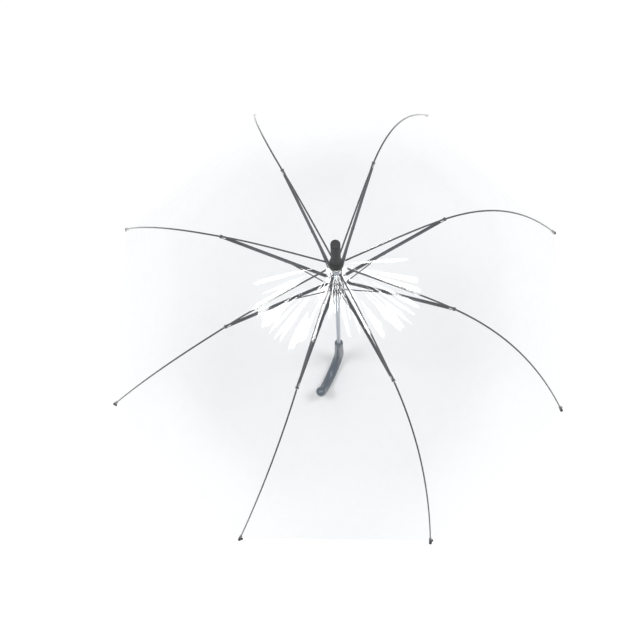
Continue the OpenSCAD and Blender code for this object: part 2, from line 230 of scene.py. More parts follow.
@dataclass(frozen=True)
class ClearFilm:
    """Soft clear PVC film, calendered and glossy, heat-welded along the ribs and at the hem.

    It lets nearly all light through, turns it a touch grey, and mirrors more of its surroundings
    the flatter it is seen. Welds and hems are doubled, so they look a little milky.

    Attributes:
        tint: What light that passes through keeps.
        milk: The colour of the little that the film scatters.
        haze: Share of the film that scatters.
        weld_mm: Half width of the weld along a rib.
        hem_mm: Width of the hem.
        weld_haze: Share that scatters in welds and hems.
        roughness: Roughness of its gloss.
        mirror: Share that the film's two faces together mirror, seen square on.
    """

    tint: str = "#f6f7f8"
    milk: str = "#f1f2f4"
    haze: float = 0.02
    weld_mm: float = 2.6
    hem_mm: float = 5.0
    weld_haze: float = 0.05
    roughness: float = 0.06
    mirror: float = 0.088

    def make(self) -> bpy.types.Material:
        """Builds the material.

        It reads the film's own UV map, which holds metres from the rib and metres from the hem.
        """
        material, tree = new_material("clear_pvc_film")
        across = add_node(
            tree, "ShaderNodeSeparateXYZ",
            {"Vector": add_node(tree, "ShaderNodeUVMap", uv_map="film").outputs[0]},
        )
        aside = add_node(
            tree, "ShaderNodeMath", {0: across.outputs["X"]}, operation="ABSOLUTE"
        )
        weld = add_node(
            tree, "ShaderNodeMapRange",
            {"Value": aside.outputs[0], "From Min": self.weld_mm * MM,
             "From Max": self.weld_mm * MM * 1.25, "To Min": 1.0, "To Max": 0.0},
        )
        hem = add_node(
            tree, "ShaderNodeMapRange",
            {"Value": across.outputs["Y"], "From Min": self.hem_mm * MM,
             "From Max": self.hem_mm * MM * 1.15, "To Min": 1.0, "To Max": 0.0},
        )
        doubled = add_node(
            tree, "ShaderNodeMath", {0: weld.outputs[0], 1: hem.outputs[0]}, operation="MAXIMUM"
        )
        haze = add_node(
            tree, "ShaderNodeMapRange",
            {"Value": doubled.outputs[0], "To Min": self.haze, "To Max": self.weld_haze},
        )
        # Schlick's rule from how flat the film is seen, the same from either side
        flatness = add_node(tree, "ShaderNodeLayerWeight", {"Blend": 0.5}).outputs["Facing"]
        grazing = add_node(tree, "ShaderNodeMath", {0: flatness, 1: 5.0}, operation="POWER")
        mirrored = add_node(
            tree, "ShaderNodeMapRange", {"Value": grazing.outputs[0], "To Min": self.mirror}
        )
        kept_back = add_node(
            tree, "ShaderNodeMath", {0: mirrored.outputs[0], 1: haze.outputs[0]},
            operation="ADD", use_clamp=True,
        )
        passed = add_node(
            tree, "ShaderNodeMix",
            {"Factor": kept_back.outputs[0], "A": linear(self.tint), "B": linear("#000000")},
            data_type="RGBA",
        )
        scattered = add_node(
            tree, "ShaderNodeMix",
            {"Factor": haze.outputs[0], "A": linear("#000000"), "B": linear(self.milk)},
            data_type="RGBA",
        )
        place = add_node(tree, "ShaderNodeTexCoord").outputs["Object"]
        # Faint waviness of the film itself, some 18 mm across
        creases = add_node(
            tree, "ShaderNodeTexNoise",
            {"Vector": place, "Scale": 55.0, "Detail": 2.0, "Roughness": 0.45},
        )
        bump = add_node(
            tree, "ShaderNodeBump",
            {"Height": creases.outputs["Fac"], "Strength": 0.5, "Distance": 0.5 * MM},
        )
        through = add_node(tree, "ShaderNodeBsdfTransparent", {"Color": passed.outputs["Result"]})
        gloss = add_node(
            tree, "ShaderNodeBsdfPrincipled",
            {"Base Color": scattered.outputs["Result"], "Roughness": self.roughness, "IOR": 1.53,
             "Normal": bump.outputs[0]},
        )
        film = add_node(tree, "ShaderNodeAddShader", {0: through.outputs[0], 1: gloss.outputs[0]})
        add_node(tree, "ShaderNodeOutputMaterial", {"Surface": film.outputs[0]})
        return material


@dataclass(frozen=True)
class MilkySleeve:
    """Natural polypropylene, moulded: milky, so the tube inside shows only as a shade.

    Attributes:
        milk: Its colour.
        cloud: Its colour in the paler clouds.
        passed: What light that passes straight through keeps.
        body: Share of the light that doesn't pass straight through.
        roughness: Middle roughness.
    """

    milk: str = "#c3c7ce"
    cloud: str = "#d7dade"
    passed: str = "#eceef1"
    body: float = 0.8
    roughness: float = 0.28

    def make(self) -> bpy.types.Material:
        """Builds the material."""
        material, tree = new_material("natural_polypropylene")
        place = add_node(tree, "ShaderNodeTexCoord").outputs["Object"]
        # Clouds some 4 mm across
        clouds = add_node(
            tree, "ShaderNodeTexNoise", {"Vector": place, "Scale": 240.0, "Detail": 3.0}
        )
        rough = add_node(
            tree, "ShaderNodeMapRange",
            {"Value": clouds.outputs["Fac"], "To Min": self.roughness * 0.8,
             "To Max": self.roughness * 1.2},
        )
        colour = add_node(
            tree, "ShaderNodeMix",
            {"Factor": clouds.outputs["Fac"], "A": linear(self.milk), "B": linear(self.cloud)},
            data_type="RGBA",
        )
        solid = add_node(
            tree, "ShaderNodeBsdfPrincipled",
            {"Base Color": colour.outputs["Result"], "Roughness": rough.outputs[0], "IOR": 1.49},
        )
        through = add_node(tree, "ShaderNodeBsdfTransparent", {"Color": linear(self.passed)})
        sleeve = add_node(
            tree, "ShaderNodeMixShader", {0: self.body, 1: through.outputs[0], 2: solid.outputs[0]}
        )
        add_node(tree, "ShaderNodeOutputMaterial", {"Surface": sleeve.outputs[0]})
        return material


@dataclass
class Finishes:
    """Every finish on the umbrella, made once."""

    film: bpy.types.Material = field(default_factory=lambda: ClearFilm().make())
    sleeve: bpy.types.Material = field(default_factory=lambda: MilkySleeve().make())
    # Zinc-plated steel tube, drawn: bright, with fine lines along it
    tube: bpy.types.Material = field(default_factory=lambda: SolidFinish(
        "plated_steel_tube", "#aab1bb", "#98a1ad", 0.3, Grain.DRAWN,
        grain_mm=0.12, bump_mm=0.004, metallic=1.0).make())
    # Spring and pivot wire: hard-drawn steel, bright
    wire: bpy.types.Material = field(default_factory=lambda: SolidFinish(
        "hard_drawn_wire", "#b9bec6", "#a3a8b0", 0.25, Grain.DRAWN,
        grain_mm=0.1, bump_mm=0.002, metallic=1.0).make())
    # Steel channel under a grey coat: satin, with a slight orange peel
    channel: bpy.types.Material = field(default_factory=lambda: SolidFinish(
        "coated_steel_channel", "#23282d", "#2e3338", 0.45, grain_mm=0.35, bump_mm=0.006).make())
    # Pultruded glass-fibre rod: dark, satin, with fibres along it
    rod: bpy.types.Material = field(default_factory=lambda: SolidFinish(
        "glass_fibre_rod", "#151618", "#1f2023", 0.5,
        grain_mm=0.25, bump_mm=0.006, ior=1.45).make())
    # Moulded nylon, charcoal, with a fine spark texture
    nylon: bpy.types.Material = field(default_factory=lambda: SolidFinish(
        "moulded_nylon_charcoal", "#0f0f11", "#161618", 0.6,
        grain_mm=0.45, bump_mm=0.02, ior=1.53).make())
    # Moulded acetal, black, for what slides
    acetal: bpy.types.Material = field(default_factory=lambda: SolidFinish(
        "moulded_acetal_black", "#1a1b1d", "#232427", 0.42,
        grain_mm=0.5, bump_mm=0.012, ior=1.48).make())
    # Moulded ABS, slate grey, polished mould
    slate: bpy.types.Material = field(default_factory=lambda: SolidFinish(
        "moulded_abs_slate", "#4a5561", "#535e6a", 0.3,
        grain_mm=1.2, bump_mm=0.01, ior=1.54).make())
    # Matt white board for the floor
    floor: bpy.types.Material = field(default_factory=lambda: SolidFinish(
        "matt_white_floor", "#fbfbfb", "#f9f9f9", 0.9, grain_mm=4.0, bump_mm=0.02).make())


# ---- Mesh helpers ----


def mesh_object(
    name: str, points: Iterable, faces: Iterable = (), edges: Iterable = ()
) -> bpy.types.Object:
    """Makes an object at the origin from points, faces and edges.

    Args:
        name: The object's name.
        points: Its points, in the row frame.
        faces: Point numbers of each face.
        edges: Point numbers of each loose edge.

    Returns:
        The new object, linked to the scene.
    """
    mesh = bpy.data.meshes.new(name)
    mesh.from_pydata([tuple(map(float, p)) for p in points], list(edges), list(faces))
    made = bpy.data.objects.new(name, mesh)
    bpy.context.scene.collection.objects.link(made)
    return made


def to_plain_mesh(made: bpy.types.Object) -> bpy.types.Object:
    """Turns what an object's modifiers make into its own plain mesh.

    Args:
        made: The object, which loses its modifiers.

    Returns:
        The same object.
    """
    bpy.context.view_layer.update()
    whole = made.evaluated_get(bpy.context.evaluated_depsgraph_get())
    mesh = bpy.data.meshes.new_from_object(whole)
    made.modifiers.clear()
    old, made.data = made.data, mesh
    bpy.data.meshes.remove(old)
    return made


def smooth_by_angle(made: bpy.types.Object, degrees: float = 32) -> None:
    """Shades an object smooth, with an edge kept sharp where its faces turn by more than an angle.

    Args:
        made: The object.
        degrees: The angle.
    """
    work = bmesh.new()
    work.from_mesh(made.data)
    limit = math.radians(degrees)
    for face in work.faces:
        face.smooth = True
    for edge in work.edges:
        if len(edge.link_faces) == 2:
            edge.smooth = edge.calc_face_angle(0) < limit
    work.to_mesh(made.data)
    work.free()


def dress(
    made: bpy.types.Object, material: bpy.types.Material, slot: str, body: str, *nodes: str
) -> None:
    """Gives a finished piece its finish, its body and the frame nodes that it stands for.

    Args:
        made: The piece.
        material: Its finish.
        slot: The record's material slot; not used.
        body: The body that it rides on.
        *nodes: The frame nodes that it stands for.
    """
    made.data.materials.clear()
    made.data.materials.append(material)
    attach(made, body)
    if nodes:
        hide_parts(*nodes)
    log.info("%s: %d faces on %s", made.name, len(made.data.polygons), body)


def finished_copy(node: str, name: str, bevel_mm: float = 0.0) -> bpy.types.Object:
    """Copies a frame node, joins its loose triangles and rounds its edges.

    Args:
        node: The frame node.
        name: The new piece's name.
        bevel_mm: Width of the rounding, 0 for none.

    Returns:
        The new piece, with a plain mesh.
    """
    made = bpy.data.objects.new(name, frame["nodes"][node].data.copy())
    bpy.context.scene.collection.objects.link(made)
    work = bmesh.new()
    work.from_mesh(made.data)
    bmesh.ops.remove_doubles(work, verts=work.verts, dist=MERGE_GAP)
    bmesh.ops.dissolve_limit(
        work, angle_limit=FLAT_ANGLE, verts=work.verts, edges=work.edges, delimit={"NORMAL"}
    )
    work.to_mesh(made.data)
    work.free()
    if "custom_normal" in made.data.attributes:
        made.data.attributes.remove(made.data.attributes["custom_normal"])
    if bevel_mm:
        rounding = made.modifiers.new("rounding", "BEVEL")
        rounding.width = bevel_mm * MM
        rounding.segments = 2
        rounding.limit_method = "ANGLE"
        rounding.angle_limit = ROUNDED_ANGLE
        rounding.use_clamp_overlap = True
        to_plain_mesh(made)
    smooth_by_angle(made)
    return made


def input_names(tree: bpy.types.NodeTree) -> dict[str, str]:
    """Finds what a modifier calls each input of a tree.

    Args:
        tree: A Geometry Nodes tree.

    Returns:
        Each input's identifier, by its name.
    """
    return {s.name: s.identifier for s in tree.interface.items_tree if s.in_out == "INPUT"}


def open_tree(name: str, sockets: dict[str, str]) -> tuple[bpy.types.NodeTree, bpy.types.Node]:
    """Starts a Geometry Nodes tree.

    Args:
        name: The tree's name.
        sockets: Its inputs after the geometry, each with its kind of value.

    Returns:
        The tree and its Group Input node.
    """
    tree = bpy.data.node_groups.new(name, "GeometryNodeTree")
    for socket, kind in {"Geometry": "Geometry", **sockets}.items():
        tree.interface.new_socket(socket, in_out="INPUT", socket_type=f"NodeSocket{kind}")
    tree.interface.new_socket("Geometry", in_out="OUTPUT", socket_type="NodeSocketGeometry")
    return tree, add_node(tree, "NodeGroupInput")


def close_tree(tree: bpy.types.NodeTree, shape: bpy.types.Node, given: bpy.types.Node) -> None:
    """Ends a Geometry Nodes tree: the shape is made smooth, real and painted.

    Args:
        tree: The tree.
        shape: The node whose first output is the shape.
        given: The tree's Group Input node, which has a Material.
    """
    smooth = add_node(tree, "GeometryNodeSetShadeSmooth", {"Geometry": shape.outputs[0]})
    real = add_node(tree, "GeometryNodeRealizeInstances", {"Geometry": smooth.outputs[0]})
    painted = add_node(
        tree, "GeometryNodeSetMaterial",
        {"Geometry": real.outputs[0], "Material": given.outputs["Material"]},
    )
    add_node(tree, "NodeGroupOutput", {"Geometry": painted.outputs[0]})


class SweptRod:
    """A round rod along a path, made by Geometry Nodes.

    The path is a string of edges whose points carry their own radius. One tree serves all the
    ribs' rods.
    """

    SIDES = 16
    _tree: bpy.types.NodeTree | None = None

    @classmethod
    def tree(cls) -> bpy.types.NodeTree:
        """Builds the tree the first time that it is asked for."""
        if cls._tree is not None:
            return cls._tree
        tree, given = open_tree("swept_rod", {"Sides": "Int", "Material": "Material"})
        path = add_node(tree, "GeometryNodeMeshToCurve", {"Mesh": given.outputs["Geometry"]})
        radius = add_node(
            tree, "GeometryNodeInputNamedAttribute", {"Name": "rod_radius"}, data_type="FLOAT"
        )
        section = add_node(
            tree, "GeometryNodeCurvePrimitiveCircle",
            {"Resolution": given.outputs["Sides"], "Radius": 1.0},
        )
        solid = add_node(
            tree, "GeometryNodeCurveToMesh",
            {"Curve": path.outputs[0], "Profile Curve": section.outputs[0],
             "Scale": radius.outputs["Attribute"], "Fill Caps": True},
        )
        close_tree(tree, solid, given)
        cls._tree = tree
        return tree

    @classmethod
    def make(
        cls, name: str, path: Sequence, radii: Sequence[float], material: bpy.types.Material
    ) -> bpy.types.Object:
        """Makes one rod.

        Args:
            name: The piece's name.
            path: Points along its centre.
            radii: The rod's radius at each point.
            material: Its finish.

        Returns:
            The rod, with a plain mesh.
        """
        made = mesh_object(name, path, edges=[(i, i + 1) for i in range(len(path) - 1)])
        radius = made.data.attributes.new("rod_radius", "FLOAT", "POINT")
        radius.data.foreach_set("value", [float(r) for r in radii])
        sweep = made.modifiers.new("sweep", "NODES")
        sweep.node_group = cls.tree()
        named = input_names(sweep.node_group)
        sweep[named["Sides"]] = cls.SIDES
        sweep[named["Material"]] = material
        to_plain_mesh(made)
        mend_faces(made)
        smooth_by_angle(made, 50)
        return made


def mend_faces(made: bpy.types.Object) -> None:
    """Joins doubled points and turns every face outwards.

    Args:
        made: A closed piece.
    """
    work = bmesh.new()
    work.from_mesh(made.data)
    bmesh.ops.remove_doubles(work, verts=work.verts, dist=SWEPT_GAP)
    bmesh.ops.recalc_face_normals(work, faces=work.faces)
    work.to_mesh(made.data)
    work.free()


def joined(name: str, *parts: bpy.types.Object) -> bpy.types.Object:
    """Joins pieces of one finish and one body into one.

    Args:
        name: The joined piece's name.
        *parts: The pieces, each with a plain mesh at the origin.

    Returns:
        The joined piece.
    """
    work = bmesh.new()
    for part in parts:
        work.from_mesh(part.data)
    mesh = bpy.data.meshes.new(name)
    work.to_mesh(mesh)
    work.free()
    for part in parts:
        old = part.data
        bpy.data.objects.remove(part)
        bpy.data.meshes.remove(old)
    made = bpy.data.objects.new(name, mesh)
    bpy.context.scene.collection.objects.link(made)
    return made


# ---- The rib's curve and its pivots ----


@dataclass(frozen=True)
class RibCurve:
    """The open rib's centre line, a cubic from the crown pivot to the tip.

    Attributes:
        start: Distance from the shaft and height of the crown pivot.
        shoulder_in: The first point that the curve is drawn towards, above the rim.
        shoulder_out: The second such point.
        rim_r: Distance from the shaft to the tip.
        rim_z: Height of the tip.
        elbow_at: Where along the curve the elbow lies.
        swirl: Degrees that the tip leans round the shaft.
        swirl_power: How late along the rib the lean comes.
    """

    start: tuple[float, float]
    shoulder_in: tuple[float, float] = (0.178, 0.3115)
    shoulder_out: tuple[float, float] = (0.284, 0.3155)
    rim_r: float = 0.440
    rim_z: float = 0.228
    elbow_at: float = 0.41
    swirl: float = 5.2
    swirl_power: float = 1.6

    @lru_cache(maxsize=None)
    def flat(self, t: float) -> np.ndarray:
        """A point of the curve before it leans.

        Args:
            t: From 0 at the crown to 1 at the tip.

        Returns:
            Its distance from the shaft and its height.
        """
        a = np.array(self.start)
        b, c = (np.array(p) + (0, self.rim_z) for p in (self.shoulder_in, self.shoulder_out))
        d = np.array((self.rim_r, self.rim_z))
        u = 1 - t
        return u**3 * a + 3 * t * u * u * b + 3 * t * t * u * c + t**3 * d

    @lru_cache(maxsize=None)
    def point(self, t: float, azimuth: float, lift: float = 0.0) -> np.ndarray:
        """A point of one rib's curve.

        Args:
            t: From 0 at the crown to 1 at the tip.
            azimuth: The rib's angle round the shaft, in radians.
            lift: Distance above the curve, square to it.

        Returns:
            The point, in the row frame.
        """
        step = 0.01
        run = self.flat(min(t + step, 1)) - self.flat(min(t, 1 - step))
        run /= np.linalg.norm(run)
        r, z = self.flat(t) + lift * np.array((-run[1], run[0]))
        late = max(0.0, (t - self.elbow_at) / (1 - self.elbow_at))
        angle = azimuth - math.radians(self.swirl) * late**self.swirl_power
        return np.array((r * math.cos(angle), r * math.sin(angle), z))

    def share(self, t: float, length: float) -> float:
        """Turns a short length near t into a share of the curve."""
        run = self.flat(t + 0.005) - self.flat(t - 0.005)
        return length / float(np.linalg.norm(run)) * 0.01


@dataclass
class Pivots:
    """Where the frame's joints are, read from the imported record."""

    joints: dict[str, dict] = field(default_factory=lambda: {j["name"]: j for j in frame["joints"]})

    def place(self, joint: str) -> np.ndarray:
        """Finds a hinge's point."""
        return np.array(self.joints[joint]["pos_m"], float)

    def azimuth(self, rib: int) -> float:
        """Finds a rib's angle round the shaft from +X, in radians."""
        x, y, _ = self.place(f"rib_{rib}_fold")
        return math.atan2(y, x)

    def across(self, rib: int) -> np.ndarray:
        """Finds the direction across a rib's plane, which its hinges turn about."""
        return np.array(self.joints[f"rib_{rib}_fold"]["axis"], float)

    def crown(self) -> tuple[float, float]:
        """Finds the crown pivots' distance from the shaft and their height."""
        x, y, z = self.place("rib_1_fold")
        return math.hypot(x, y), z


# ---- Film ----


@dataclass
class DomeFilm:
    """The clear film: eight gores pulled straight between the ribs, in patches that fold with them.

    Each patch reaches from the middle of one gore over a rib to the middle of the next. Patches
    share their edge points and normals, so the open dome is one unbroken sheet.

    Attributes:
        curve: The rib's curve.
        pivots: The frame's joints.
        material: The film's finish.
        lift: Height of the film above the rods' centre line.
        sag: How far the middle of a gore is pulled in.
        cap_len: Length of a tip cap, which the film stops short of.
        gap: Distance that it stops short by.
        crown_t: Where along the ribs the film leaves the crown.
        half_columns: Columns of faces from a rib to the middle of a gore.
        rows_in: Rows of faces from the crown to the elbows.
        rows_out: Rows from the elbows to the hem.
        keep: Share of its width that a patch keeps when the frame is folded; not used.
        ripple: Height of the tension ripples.
        ripple_counts: Half waves of each ripple across a gore.
        ripple_peak: Where down the ribs the ripples are highest.
        ripple_reach: How far from there they fade.
        ripple_rest: Share of their height that is left further down.
        disc_hole_r: Radius of the hole that the shaft goes through.
        disc_flat_r: Radius of what lies flat on the crown.
        disc_lift: Height of that above the crown.
        disc_side: Side of the flat piece that the crown's disc is cut from; not used.
    """

    curve: RibCurve
    pivots: Pivots
    material: bpy.types.Material
    lift: float = 3.7 * MM
    sag: float = 3.0 * MM
    cap_len: float = 14.0 * MM
    gap: float = 0.3 * MM
    crown_t: float = 0.02
    half_columns: int = 16
    rows_in: int = 30
    rows_out: int = 44
    keep: float = 0.1
    ripple: float = 0.9 * MM
    ripple_counts: tuple[int, ...] = (3, 5, 8, 11)
    ripple_peak: float = 0.22
    ripple_reach: float = 0.26
    ripple_rest: float = 0.14
    disc_hole_r: float = 6.0 * MM
    disc_flat_r: float = 11.5 * MM
    disc_lift: float = 0.35 * MM
    disc_side: float = 38.0 * MM

    def __post_init__(self) -> None:
        """Draws each gore's ripples once, from a fixed seed."""
        self.hem_t = 1 - self.curve.share(0.99, self.cap_len + self.gap)
        draw = np.random.default_rng(17)
        self.waves = [
            [
                (float(n), float(draw.uniform(0, 1)), float(draw.uniform(0.4, 1.0)))
                for n in self.ripple_counts
            ]
            for _ in range(RIBS)
        ]

    def wave(self, gore: int, s: float, t: float) -> float:
        """Adds up a gore's tension ripples, which fan out from the crown and die at the ribs.

        Args:
            gore: The gore's number, from 0.
            s: From 0 at its first rib to 1 at its second.
            t: From 0 at the crown to 1 at the tips.

        Returns:
            The ripples' height above the smooth film.
        """
        edge = math.sin(math.pi * s) ** 0.7
        near = math.exp(-(((t - self.ripple_peak) / self.ripple_reach) ** 2)) + self.ripple_rest
        total = sum(
            a / n**0.5 * math.sin(2 * math.pi * (n * s * 0.5 + p) + 2.2 * math.sin(3.1 * t + 5 * p))
            for n, p, a in self.waves[gore]
        )
        return self.ripple * edge * near * total * min(1.0, t * 6)

    def surface(self, gore: int, s: float, t: float) -> np.ndarray:
        """A point of the film.

        Args:
            gore: The gore's number, from 0, between one rib and the next.
            s: From 0 at its first rib to 1 at its second.
            t: From 0 at the crown to 1 at the tips.

        Returns:
            The point, in the row frame.
        """
        first, second = self.pivots.azimuth(gore + 1), self.pivots.azimuth((gore + 1) % RIBS + 1)
        a = self.curve.point(t, first, self.lift)
        b = self.curve.point(t, second, self.lift)
        flat = (1 - s) * a + s * b
        step = 0.004
        along = self.curve.point(t + step, first, self.lift) * (1 - s)
        along = along + self.curve.point(t + step, second, self.lift) * s - flat
        normal = np.cross(along, b - a)
        normal /= -np.linalg.norm(normal)
        late = math.sin(math.pi * min(1.0, t / self.hem_t)) ** 0.8 if t < self.hem_t else 0.0
        return flat + normal * (self.wave(gore, s, t) - self.sag * 4 * s * (1 - s) * late)

    def normal(self, gore: int, s: float, t: float) -> np.ndarray:
        """Finds the film's outward normal from the points round a place.

        Args:
            gore: The gore's number, from 0.
            s: From 0 at its first rib to 1 at its second.
            t: From 0 at the crown to 1 at the tips.

        Returns:
            The normal, of length 1.
        """
        step = 0.002
        low, high = max(0.0, s - step), min(1.0, s + step)
        sideways = self.surface(gore, high, t) - self.surface(gore, low, t)
        down = self.surface(gore, s, min(t + step, 0.995)) - self.surface(gore, s, t - step)
        found = np.cross(down, sideways)
        return found / np.linalg.norm(found)

    def patch(self, name: str, rib: int, t_from: float, t_to: float, rows: int) -> bpy.types.Object:
        """Makes the patch over one stretch of one rib.

        Args:
            name: The piece's name.
            rib: The rib's number, from 1.
            t_from: Where along the rib it starts.
            t_to: Where it ends.
            rows: Rows of faces.

        Returns:
            The patch, with its UV map in metres from the rib and from the hem.
        """
        half = self.half_columns
        shares = [j / half / 2 for j in range(half + 1)]
        before, after = (rib - 2) % RIBS, rib - 1
        columns = [(before, 1 - s) for s in reversed(shares)] + [(after, s) for s in shares[1:]]
        steps = [t_from + (t_to - t_from) * i / rows for i in range(rows + 1)]
        points, metres = [], []
        down = self.distance_to_hem(steps)
        for t, far in zip(steps, down):
            centre = self.surface(after, 0, t)
            for gore, s in columns:
                place = self.surface(gore, s, t)
                points.append(place)
                aside = float(np.linalg.norm(place - centre))
                metres.append((aside if gore == after else -aside, far))
        wide = 2 * half + 1
        faces, corners = [], []
        for i in range(rows):
            for j in range(wide - 1):
                gore = before if j < half else after
                ring = [i * wide + j, (i + 1) * wide + j, (i + 1) * wide + j + 1, i * wide + j + 1]
                faces.append(ring)
                for k in ring:
                    column = k % wide
                    s = 1 - shares[half - column] if gore == before else shares[column - half]
                    corners.append((gore, s, steps[k // wide]))
        made = mesh_object(name, points, faces)
        self.map_metres(made.data, metres)
        made.data.shade_smooth()
        found = {corner: tuple(self.normal(*corner)) for corner in set(corners)}
        made.data.normals_split_custom_set([found[c] for c in corners])
        return made

    def map_metres(self, mesh: bpy.types.Mesh, metres: Sequence[tuple[float, float]]) -> None:
        """Writes the UV map that the film's finish reads.

        Args:
            mesh: A piece of film.
            metres: For each point, its distance from the rib and from the hem.
        """
        uv = mesh.uv_layers.new(name="film")
        for loop in mesh.loops:
            uv.data[loop.index].uv = metres[loop.vertex_index]

    def distance_to_hem(self, steps: Sequence[float]) -> list[float]:
        """Measures the rib's curve from each step down to the hem.

        Args:
            steps: Places along the curve, from 0 to 1.

        Returns:
            The length from each of them.
        """
        fine = np.linspace(0, 1, 401)
        line = np.array([self.curve.flat(t) for t in fine])
        far = np.concatenate([[0], np.cumsum(np.linalg.norm(np.diff(line, axis=0), axis=1))])
        end = np.interp(self.hem_t, fine, far)
        return [float(end - np.interp(t, fine, far)) for t in steps]

    def crown_disc(self) -> bpy.types.Object:
        """The film's centre, clamped flat between the crown and the washer."""
        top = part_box("crown_notch")[1].z + self.disc_lift
        count = RIBS * 2 * self.half_columns
        points = []
        for ring in range(5):
            for n in range(count):
                gore, column = divmod(n, 2 * self.half_columns)
                edge = self.surface(gore, column / (2 * self.half_columns), self.crown_t)
                angle = math.atan2(edge[1], edge[0])
                # Three rings lie flat, and two slope down to where the patches start
                r = self.disc_hole_r + (self.disc_flat_r - self.disc_hole_r) * min(ring, 2) / 2
                place = np.array((r * math.cos(angle), r * math.sin(angle), top))
                points.append(place + (edge - place) * max(ring - 2, 0) / 2)
        faces = [
            (r * count + n, (r + 1) * count + n, (r + 1) * count + m, r * count + m)
            for r in range(4)
            for n, m in ((n, (n + 1) % count) for n in range(count))
        ]
        made = mesh_object("film_crown_disc", points, faces)
        # The disc has no weld and no hem near it
        self.map_metres(made.data, [(0.2, 0.5)] * len(points))
        made.data.shade_smooth()
        return made

    def build(self) -> None:
        """Makes the crown's disc and the two patches over each rib."""
        disc = self.crown_disc()
        dress(disc, self.material, "clear_film", "shaft", "canopy")
        elbow = self.curve.elbow_at
        crown_far, elbow_far, _ = self.distance_to_hem([self.crown_t, elbow, self.hem_t])
        for rib in range(1, RIBS + 1):
            stretches = (
                ("inner", self.crown_t, elbow, self.rows_in, crown_far - elbow_far),
                ("outer", elbow, self.hem_t, self.rows_out, elbow_far),
            )
            for part, t_from, t_to, rows, long in stretches:
                made = self.patch(f"film_{part}_{rib}", rib, t_from, t_to, rows)
                dress(made, self.material, "clear_film", f"rib_{rib}_{part}", "canopy")
                half = self.surface(rib - 1, 0.5, t_to) - self.surface(rib - 1, 0, t_to)
                tuple(self.pivots.across(rib))
                tuple(self.pivots.place(f"stretcher_{rib}_fold"))
                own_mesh(made)


# ---- Ribs ----


@dataclass
class RibRods:
    """The eight ribs: an inner rod, a springy outer rod and a tip cap each.

    Attributes:
        curve: The rib's curve.
        pivots: The frame's joints.
        finishes: The umbrella's finishes.
        inner_r: Radius of the inner rod.
        tip_r: Radius of the outer rod at its tip.
        elbow_r: Radius of the inner rod where it enters the stretcher's channel.
        inner_start: Where along the curve the inner rod starts.
        elbow_gap: Distance from the elbow to where the outer rod starts.
        eye_reach: How far from a pivot its flat eye reaches.
    """

    curve: RibCurve
    pivots: Pivots
    finishes: Finishes
    inner_r: float = 1.4 * MM
    tip_r: float = 1.1 * MM
    elbow_r: float = 1.3 * MM
    inner_start: float = 0.015
    elbow_gap: float = 3.1 * MM
    eye_reach: float = 9.0 * MM

    def inner(self, rib: int) -> None:
        """Makes the rod from the crown to the elbow, with its flat eyes.

        Args:
            rib: The rib's number, from 1.
        """
        azimuth = self.pivots.azimuth(rib)
        elbow = self.curve.elbow_at
        steps = np.linspace(self.inner_start, elbow - 0.002, 40)
        path = [self.curve.point(t, azimuth) for t in steps]
        radii = np.linspace(self.inner_r, self.elbow_r, len(path))
        rod = SweptRod.make("rod", path, radii, self.finishes.rod)
        eyes = finished_copy(f"inner_rib_{rib}", "eyes", 0.15)
        hinges = (f"rib_{rib}_fold", f"stretcher_{rib}_fold")
        self.keep_near(eyes, [self.pivots.place(hinge) for hinge in hinges])
        made = joined(f"inner_rod_{rib}", rod, eyes)
        dress(made, self.finishes.rod, "grey_fibre_rod", f"rib_{rib}_inner", f"inner_rib_{rib}")

    def keep_near(self, made: bpy.types.Object, places: Sequence[np.ndarray]) -> None:
        """Removes all of a mesh but its eyes.

        Args:
            made: The piece.
            places: The pivots that its eyes turn on.
        """
        work = bmesh.new()
        work.from_mesh(made.data)
        spots = [Vector(p) for p in places]
        far = [v for v in work.verts if min((v.co - s).length for s in spots) > self.eye_reach]
        bmesh.ops.delete(work, geom=far, context="VERTS")
        work.to_mesh(made.data)
        work.free()

    def outer(self, rib: int) -> None:
        """Makes the springy rod from the elbow to the tip.

        Args:
            rib: The rib's number, from 1.
        """
        azimuth = self.pivots.azimuth(rib)
        start = self.curve.elbow_at + self.curve.share(self.curve.elbow_at, self.elbow_gap)
        steps = np.linspace(start, 1.0, 72)
        path = [self.curve.point(t, azimuth) for t in steps]
        radii = np.linspace(self.inner_r, self.tip_r, len(path))
        made = SweptRod.make(f"outer_rod_{rib}", path, radii, self.finishes.rod)
        dress(made, self.finishes.rod, "grey_fibre_rod", f"rib_{rib}_outer", f"outer_rib_{rib}")

    def cap(self, rib: int) -> None:
        """Dresses the moulded cap on the tip, with its film tab."""
        made = finished_copy(f"tip_cap_{rib}", f"cap_{rib}", 0.25)
        dress(made, self.finishes.acetal, "black_plastic", f"rib_{rib}_outer", f"tip_cap_{rib}")

    def build(self) -> None:
        """Makes all eight ribs."""
        for rib in range(1, RIBS + 1):
            self.inner(rib)
            self.outer(rib)
            self.cap(rib)


@dataclass
class StretcherArms:
    """The eight channel stretchers and the eight struts below them."""

    finishes: Finishes

    def build(self) -> None:
        """Dresses the channels with their rivets, and the struts."""
        for rib in range(1, RIBS + 1):
            for node, name in ((f"stretcher_{rib}", "channel"), (f"strut_{rib}", "short_strut")):
                made = finished_copy(node, f"{name}_{rib}", 0.18)
                dress(made, self.finishes.channel, "coated_steel", f"{node}_arm", node)


# ---- Shaft, runner and handle ----


